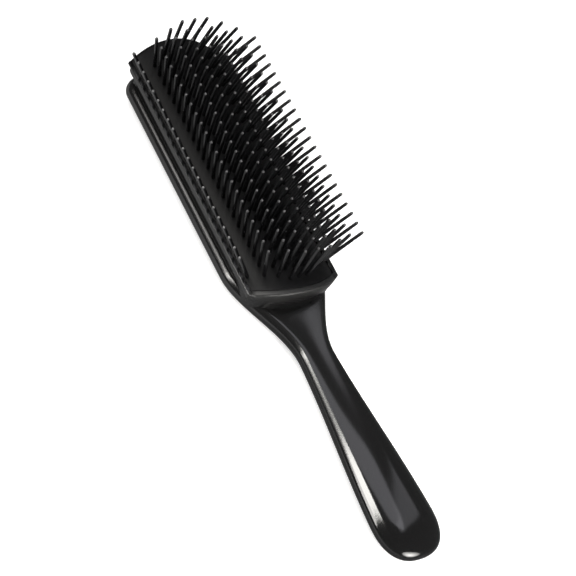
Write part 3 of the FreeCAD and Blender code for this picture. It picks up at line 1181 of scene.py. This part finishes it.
@dataclass
class Studio:
    """Camera, pale floor, white surround and soft lamps."""

    # Camera, fitted to the photograph.
    camera_place: Place = (0.33400, -0.41406, 0.57185)
    camera_turn: tuple[float, float, float, float] = (0.76767485, 0.35580744, -0.00386319, 0.53297418)
    lens: float = 125.75
    sensor: float = 36.0
    clip: Point = (0.01, 50.0)

    # White surround, and floor just under the brush.
    surround: float = 0.05
    floor_size: float = 6.0
    floor_height: float = -0.0004
    floor_tone: float = 0.86
    floor_lift: float = 0.6

    # Tent over a ground card. The card's tone goes from one value to another between two places across.
    tent_radius: float = 2.9
    tent_tone: float = 0.12
    tent_segments: int = 48
    tent_rings: int = 24
    card_height: float = -0.0002
    card_top: float = 0.001
    card_places: Point = (-0.018, -0.04)
    card_tones: Point = (0.15, 0.8)

    # Warm strips for the highlights, a box for the soft spot on the butt, and cool panels for the weak sheen.
    lamps: tuple[SoftBox, ...] = (
        SoftBox(
            name="strip_box", place=(-0.251, -0.405, 0.942), aim=(0.12, 0.0, 0.0),
            along=(-0.024, -0.463, -0.209), length=0.57, width=0.155, power=5.6,
        ),
        SoftBox(
            name="low_strip", place=(-0.236, -0.787, 0.665), aim=(0.12, 0.0, 0.0),
            along=(0.039, -0.239, -0.262), length=0.4, width=0.17, power=2.6,
        ),
        SoftBox(
            name="head_strip", place=(-0.47, -0.46, 0.86), aim=(-0.01, 0.0, 0.0),
            along=(0.034, 0.824, 0.566), length=0.5, width=0.14, power=1.1,
        ),
        SoftBox(
            name="butt_box", place=(0.52, 0.035, 0.2), aim=(0.165, 0.0, 0.0),
            along=(-0.45, 0.0, 0.89), length=0.37, width=0.35, power=0.5, oval=True, spread=math.radians(52),
        ),
        SoftBox(
            name="side_panel", place=(-0.114, 0.61, 0.993), aim=(0.13, 0.0, 0.0),
            along=(-0.261, 0.772, -0.58), length=0.705, width=0.137, power=0.25, colour=COOL,
        ),
        SoftBox(
            name="top_panel", place=(-0.381, 0.295, 1.158), aim=(0.13, 0.0, 0.0),
            along=(-0.5, -0.866, 0.0), length=0.76, width=0.482, power=1.65, colour=COOL,
        ),
    )

    def camera(self) -> None:
        """Places the camera where the photograph was taken from."""
        data = bpy.data.cameras.new("camera")
        data.sensor_width = self.sensor
        data.lens = self.lens
        data.clip_start, data.clip_end = self.clip
        obj = bpy.data.objects.new("camera", data)
        bpy.context.scene.collection.objects.link(obj)
        obj.location = self.camera_place
        obj.rotation_mode = "QUATERNION"
        obj.rotation_quaternion = self.camera_turn
        bpy.context.scene.camera = obj

    @staticmethod
    def seen(bench: NodeBench) -> bpy.types.NodeSocket:
        """Marks the rays that show the background: from the camera, a gloss or clear stuff.

        Args:
            bench: The tree that needs the mark.

        Returns:
            1 for such rays and 0 for the others.
        """
        rays = bench.add("ShaderNodeLightPath").outputs
        first = bench.maths("MAXIMUM", rays["Is Camera Ray"], rays["Is Glossy Ray"])
        return bench.maths("MAXIMUM", first, rays["Is Transmission Ray"])

    @staticmethod
    def stage_material(obj: bpy.types.Object, name: str) -> NodeBench:
        """Gives a piece of the set a material that has only its output node so far.

        Args:
            obj: The piece of the set.
            name: Name of the material.

        Returns:
            The material's tree.
        """
        mat = bpy.data.materials.new(name)
        mat.use_nodes = True
        mat.node_tree.nodes.remove(mat.node_tree.nodes["Principled BSDF"])
        obj.data.materials.append(mat)
        return NodeBench(mat.node_tree)

    def floor(self) -> None:
        """Lays the pale floor that the brush rests on."""
        Bench.clear()
        bpy.ops.mesh.primitive_plane_add(size=self.floor_size, location=(0, 0, self.floor_height))
        obj = bpy.context.object
        obj.name = "floor"
        bench = self.stage_material(obj, "pale_floor")
        diffuse = bench.add("ShaderNodeBsdfDiffuse", Color=(self.floor_tone,) * 3 + (1.0,))
        lift = bench.maths("MULTIPLY", self.seen(bench), self.floor_lift)
        glow = bench.add("ShaderNodeEmission", Strength=lift)
        both = bench.add("ShaderNodeAddShader")
        bench.feed(both, 0, diffuse.outputs[0])
        bench.feed(both, 1, glow.outputs[0])
        bench.feed(bench.tree.nodes["Material Output"], "Surface", both.outputs[0])

    def tent(self) -> None:
        """Hangs a dark tent with a grey ground card, which show only in gloss, as a studio's cards do."""
        Bench.clear()
        bpy.ops.mesh.primitive_uv_sphere_add(
            segments=self.tent_segments, ring_count=self.tent_rings, radius=self.tent_radius
        )
        obj = bpy.context.object
        for vert in obj.data.vertices:
            vert.co.z = max(vert.co.z, self.card_height)
        obj.name = "dark_tent"
        bench = self.stage_material(obj, "dark_tent")
        place = bench.add("ShaderNodeSeparateXYZ", Vector=bench.add("ShaderNodeTexCoord").outputs["Object"])
        low = bench.maths("LESS_THAN", place.outputs["Z"], self.card_top)
        (start, end), (first, last) = self.card_places, self.card_tones
        card = bench.add(
            "ShaderNodeMapRange", Value=place.outputs["Y"],
            From_Min=start, From_Max=end, To_Min=first, To_Max=last,
        )
        tone = bench.maths("ADD", bench.maths("MULTIPLY", low, card.outputs["Result"]), self.tent_tone)
        glow = bench.add("ShaderNodeEmission", Strength=tone)
        bench.feed(bench.tree.nodes["Material Output"], "Surface", glow.outputs[0])
        for kind in ("camera", "diffuse", "transmission", "volume_scatter", "shadow"):
            setattr(obj, f"visible_{kind}", False)

    def world(self) -> None:
        """Surrounds the set with white that lights the brush at a plain level."""
        world = bpy.data.worlds.new("white_surround")
        bpy.context.scene.world = world
        world.use_nodes = True
        bench = NodeBench(world.node_tree)
        strength = bench.maths("MAXIMUM", self.seen(bench), self.surround)
        background = world.node_tree.nodes["Background"]
        background.inputs["Color"].default_value = (1.0, 1.0, 1.0, 1.0)
        bench.feed(background, "Strength", strength)

    def build(self) -> None:
        """Sets up camera, floor, tent, world, lamps and view."""
        self.camera()
        self.floor()
        self.tent()
        self.world()
        for lamp in self.lamps:
            lamp.build()
        bpy.context.scene.view_settings.view_transform = "Standard"


def main() -> None:
    """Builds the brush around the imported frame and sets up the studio."""
    logging.basicConfig(level=logging.INFO, format="%(name)s: %(message)s")
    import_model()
    arch = PadArch()
    HandleMoulding(arch).build(GLOSS_MOULDING.material())
    CushionPad(arch).build(MATT_RUBBER.material())
    PinStrips(arch).build(SATIN_NYLON.material())
    Studio().build()
    Bench.clear()


if __name__ == "__main__":
    main()
